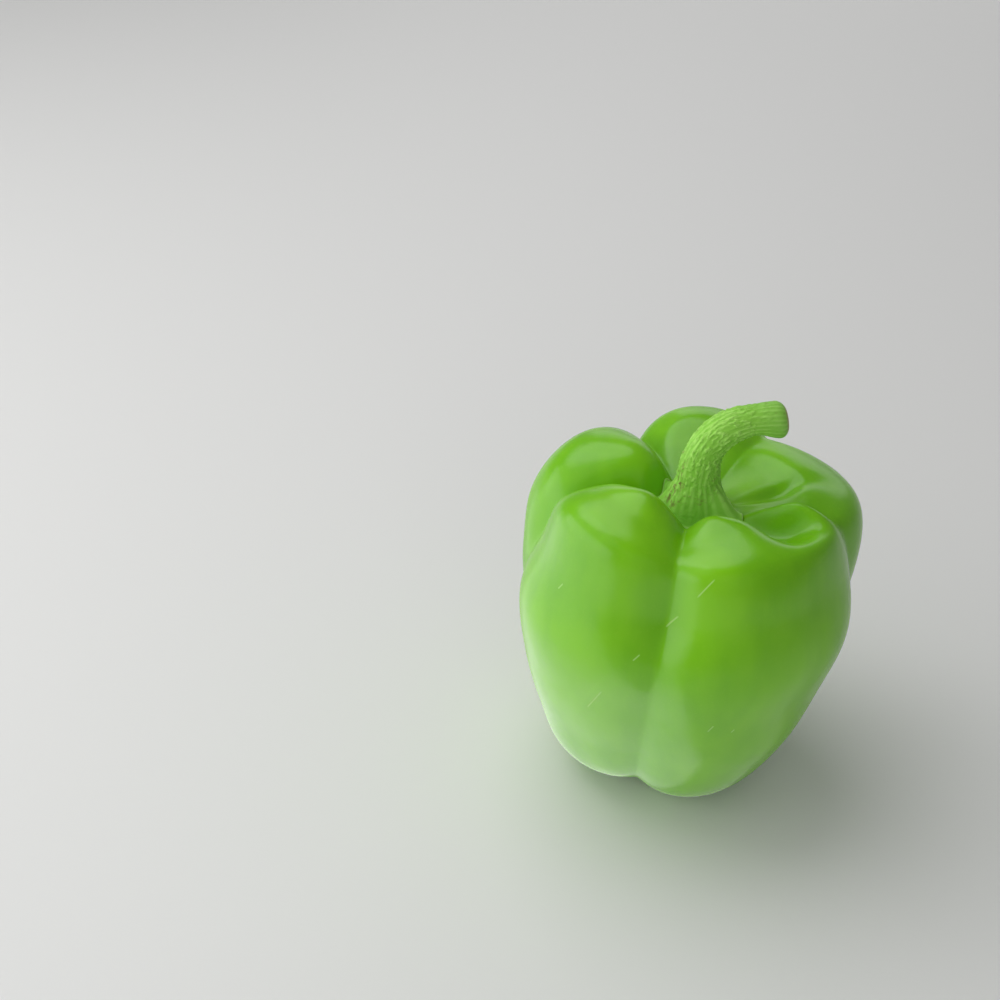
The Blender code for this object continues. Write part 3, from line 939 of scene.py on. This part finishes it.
def stem_tree(settings):
    """The tree that raises the stem's wandering ridges and small warts."""
    rule = SurfaceRule("ridged_stem", {
        "Ridges": ("Int", settings.ridges),
        "Ridge Height": ("Float", settings.ridge_height),
        "Wart Height": ("Float", settings.wart_height),
        "Wart Size": ("Float", settings.wart_size),
    })
    given, math_ = rule.given, rule.math
    around = math_("MULTIPLY", rule.field("around"), 2 * math.pi)
    along, flare, cut = rule.field("along"), rule.field("flare"), rule.field("cut")

    # A straightened copy of the surface, so that the pattern follows the stem round its bend
    length = math_("ADD", math_("MULTIPLY", along, STEM_LENGTH * MM),
                   math_("MULTIPLY", flare, CALYX_RADIUS * MM))
    radius = NECK_RADIUS * MM
    round_x = math_("MULTIPLY", math_("COSINE", around), radius)
    round_y = math_("MULTIPLY", math_("SINE", around), radius)
    straight = rule.point(round_x, round_y, length)
    slow = rule.point(round_x, round_y, math_("MULTIPLY", length, 0.5))

    wander = math_("MULTIPLY_ADD", rule.noise(slow, WANDER_SCALE), WANDER_TURN, -WANDER_TURN / 2)
    phase = math_("MULTIPLY_ADD", around, given["Ridges"], wander)
    wave = math_("MULTIPLY_ADD", math_("COSINE", phase), 0.5, 0.5)
    breaks = rule.smooth(rule.noise(slow, BREAK_SCALE), 0.35, 0.65, 0.3, 1.0)
    ridge = math_("MULTIPLY", wave, breaks)
    warts = rule.noise(slow, math_("DIVIDE", 0.9, given["Wart Size"]), 2.0, 0.55, 0.4)
    warts = rule.smooth(warts, 0.46, 0.68)
    rough = rule.noise(straight, ROUGH_SCALE)

    # Smooth on the underside, the cut end and the calyx's edge; warts are thickest midway
    covered = math_("MULTIPLY", rule.smooth(flare, 0.02, 0.5),
                    rule.smooth(cut, 0.0, CUT_EDGE / 2, 1.0, 0.0))
    ends = math_("MULTIPLY", rule.smooth(along, 0.8, 1.0, 1.0, 0.5),
                 rule.smooth(flare, 0.4, 1.0, 0.6, 1.0))
    middle = math_("MULTIPLY", rule.smooth(flare, 0.5, 1.0, 0.3, 1.0),
                   rule.smooth(along, 0.6, 0.95, 1.0, 0.25))
    rule.store("ridge", ridge)
    rule.store("wart", math_("MULTIPLY", warts, middle))
    height = math_("MULTIPLY", math_("MULTIPLY", math_("SUBTRACT", ridge, 0.4),
                                     given["Ridge Height"]), ends)
    height = math_("MULTIPLY_ADD", math_("MULTIPLY", math_("SUBTRACT", warts, 0.35), middle),
                   given["Wart Height"], height)
    height = math_("MULTIPLY_ADD", rough, ROUGH_HEIGHT * MM, height)
    rule.raise_by(math_("MULTIPLY", height, covered))
    return rule


def stem_green(settings):
    """Rough green stem: ridges and warts paler as painted highlight, valleys darker as painted
    shade, dry streaks and a pale cut end.
    """
    coat = Coat("stem_green")
    ridge, wart = coat.field("ridge"), coat.field("wart")
    along, flare, cut = coat.field("along"), coat.field("flare"), coat.field("cut")
    # Raised ridges and warts take the paler green as painted highlight, the valleys the darker
    # green as painted shade
    raised = coat.math("MAXIMUM", coat.smooth(ridge, 0.1, 0.9, 0.1, 0.8), wart)
    cloud = coat.noise(coat.position, CLOUD_SCALE, 3.0)
    raised = coat.math("MULTIPLY", raised, coat.smooth(cloud, 0.3, 0.7, 0.6, 1.0))
    green = coat.blend(raised, settings.dark_green, settings.light_green)
    green = coat.blend(coat.smooth(along, 0.72, 1.0, 0.0, 0.4), green, TIP_GREEN)

    streaks = coat.noise(coat.stretched((0.5, 1.0, 1.0)), DRY_SCALE, 3.0, 0.6)
    dry = coat.smooth(streaks, 0.62, 0.72, 0.0, 0.5)
    from_patch = coat.math("ABSOLUTE", coat.math("SUBTRACT", coat.field("around"), DRY_PATCH))
    patch = coat.math("MULTIPLY", coat.smooth(from_patch, 0.02, 0.07, 1.0, 0.0),
                      coat.math("MULTIPLY", coat.smooth(flare, 0.3, 0.6),
                                coat.smooth(along, 0.05, 0.25, 1.0, 0.0)))
    specks = coat.smooth(coat.noise(coat.stretched((1.0, 1.0, 0.4)), SPECK_SCALE), 0.52, 0.6)
    specks = coat.math("MULTIPLY", coat.math("MULTIPLY", specks, patch), 0.8)
    dry = coat.math("MAXIMUM", dry, specks)
    green = coat.blend(dry, green, settings.brown)
    rim = coat.smooth(flare, 0.0, 0.06, 0.7, 0.0)
    green = coat.blend(rim, green, RIM_GREEN)
    fibres = coat.noise(coat.position, FIBRE_SCALE)
    face = coat.blend(coat.smooth(fibres, 0.35, 0.7), settings.cut, CUT_DARK)
    green = coat.blend(coat.smooth(cut, CUT_EDGE * 0.45, CUT_EDGE * 0.6), green, face)

    grain = coat.noise(coat.position, STEM_GRAIN_SCALE, 3.0)
    coat.set(Base_Color=green, Roughness=0.52, IOR=1.4, Specular_IOR_Level=0.35,
             Normal=coat.bump(grain, STEM_GRAIN_DEPTH))
    return coat.material


def pale_table(settings):
    """Plain pale table top with a faint tooth."""
    coat = Coat("pale_table")
    coat.set(Base_Color=(*settings.floor, 1.0), Roughness=0.6,
             Normal=coat.bump(coat.noise(coat.position, TOOTH_SCALE), TOOTH_DEPTH))
    return coat.material


class PEPPER_OT_fruit(bpy.types.Operator):
    """Make the fruit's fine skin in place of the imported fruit"""
    bl_idname = "pepper.fruit"
    bl_label = "Fruit"

    def execute(self, context):
        settings = context.scene.pepper_fruit
        rule = fruit_tree(settings)
        blank = bpy.data.materials.new("blank_skin")
        mesh = rule.finished_mesh(fruit_cage(), blank)
        outward(mesh)
        centred(mesh)
        item = add_piece("fruit_skin", mesh, "fruit")
        tree = skin_tree(item)
        marks = [tuple(skin_hit(pixel, tree) for pixel in pair) for pair in SCRATCH_PIXELS]
        scar_place = Vector(mesh.vertices[len(mesh.vertices) - 2].co)
        mesh.materials.clear()
        mesh.materials.append(waxy_skin(settings, marks + back_scratches(tree), scar_place))
        bpy.data.materials.remove(blank)
        return {"FINISHED"}


class PEPPER_OT_stem(bpy.types.Operator):
    """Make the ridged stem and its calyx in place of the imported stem"""
    bl_idname = "pepper.stem"
    bl_label = "Stem and calyx"

    def execute(self, context):
        settings = context.scene.pepper_stem
        tree = skin_tree(bpy.data.objects["fruit_skin"])
        mesh = stem_tree(settings).finished_mesh(stem_cage(tree), stem_green(settings))
        add_piece("stem_and_calyx", mesh, "stem")
        return {"FINISHED"}


def add_light(light, watts):
    """A soft white panel that the camera itself doesn't see."""
    data = bpy.data.lights.new(light.name, "AREA")
    data.shape = light.shape
    data.size, data.size_y = light.size
    data.energy = watts
    item = bpy.data.objects.new(light.name, data)
    item.visible_camera = False
    if light.unseen:
        setattr(item, "visible_" + light.unseen, False)
    item.location = light.place
    if light.turn is None:
        towards = Vector(LIGHT_TARGET) - Vector(light.place)
        item.rotation_euler = towards.to_track_quat("-Z", "Y").to_euler()
    else:
        item.rotation_euler = (math.pi, 0.0, math.radians(light.turn))
    bpy.context.scene.collection.objects.link(item)


class PEPPER_OT_stage(bpy.types.Operator):
    """Set the pale table, the soft lights and the camera"""
    bl_idname = "pepper.stage"
    bl_label = "Table, lights and camera"

    def execute(self, context):
        settings = context.scene.pepper_stage
        scene = context.scene
        bm = bmesh.new()
        bmesh.ops.create_circle(bm, cap_ends=True, segments=TABLE_SIDES,
                                radius=settings.floor_size / 2)
        mesh = bpy.data.meshes.new("table_top")
        bm.to_mesh(mesh)
        bm.free()
        mesh.materials.append(pale_table(settings))
        table = bpy.data.objects.new("table_top", mesh)
        scene.collection.objects.link(table)

        world = bpy.data.worlds.new("pale_room")
        world.use_nodes = True
        background = world.node_tree.nodes["Background"].inputs
        background["Color"].default_value = (1.0, 1.0, 1.0, 1.0)
        background["Strength"].default_value = settings.surroundings
        scene.world = world
        for light in LIGHTS:
            add_light(light, getattr(settings, light.name))

        camera = bpy.data.cameras.new("camera")
        camera.lens = CAMERA_LENS
        camera.sensor_width = CAMERA_SENSOR
        item = bpy.data.objects.new("camera", camera)
        item.location = CAMERA_PLACE
        item.rotation_euler = (math.radians(CAMERA_PITCH), 0.0, math.radians(CAMERA_YAW))
        scene.collection.objects.link(item)
        scene.camera = item
        scene.view_settings.view_transform = "Standard"
        return {"FINISHED"}


class PEPPER_PT_panel(bpy.types.Panel):
    """Lists the pepper's pieces in the 3D view's sidebar."""
    bl_label = "Bell pepper"
    bl_idname = "PEPPER_PT_panel"
    bl_space_type = "VIEW_3D"
    bl_region_type = "UI"
    bl_category = "Pepper"

    def draw(self, context):
        for name, (_, operator) in PIECES.items():
            box = self.layout.box()
            settings = getattr(context.scene, name)
            for value in settings.bl_rna.properties.keys():
                if value not in ("rna_type", "name"):
                    box.prop(settings, value)
            box.operator(operator.bl_idname)


# The pieces and the stage: the name of their settings in the scene, their settings and operator
PIECES = {"pepper_fruit": (FruitSettings, PEPPER_OT_fruit),
          "pepper_stem": (StemSettings, PEPPER_OT_stem),
          "pepper_stage": (StageSettings, PEPPER_OT_stage)}
CLASSES = [item for pair in PIECES.values() for item in pair] + [PEPPER_PT_panel]


def register():
    """Add the pepper's settings, operators and panel to Blender."""
    for item in CLASSES:
        bpy.utils.register_class(item)
    for name, (group, _) in PIECES.items():
        setattr(bpy.types.Scene, name, PointerProperty(type=group))


def unregister():
    """Take them out again."""
    for name in PIECES:
        delattr(bpy.types.Scene, name)
    for item in reversed(CLASSES):
        bpy.utils.unregister_class(item)


def main():
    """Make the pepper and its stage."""
    register()
    bpy.ops.pepper.fruit()
    bpy.ops.pepper.stem()
    bpy.ops.pepper.stage()


if __name__ == "__main__":
    main()
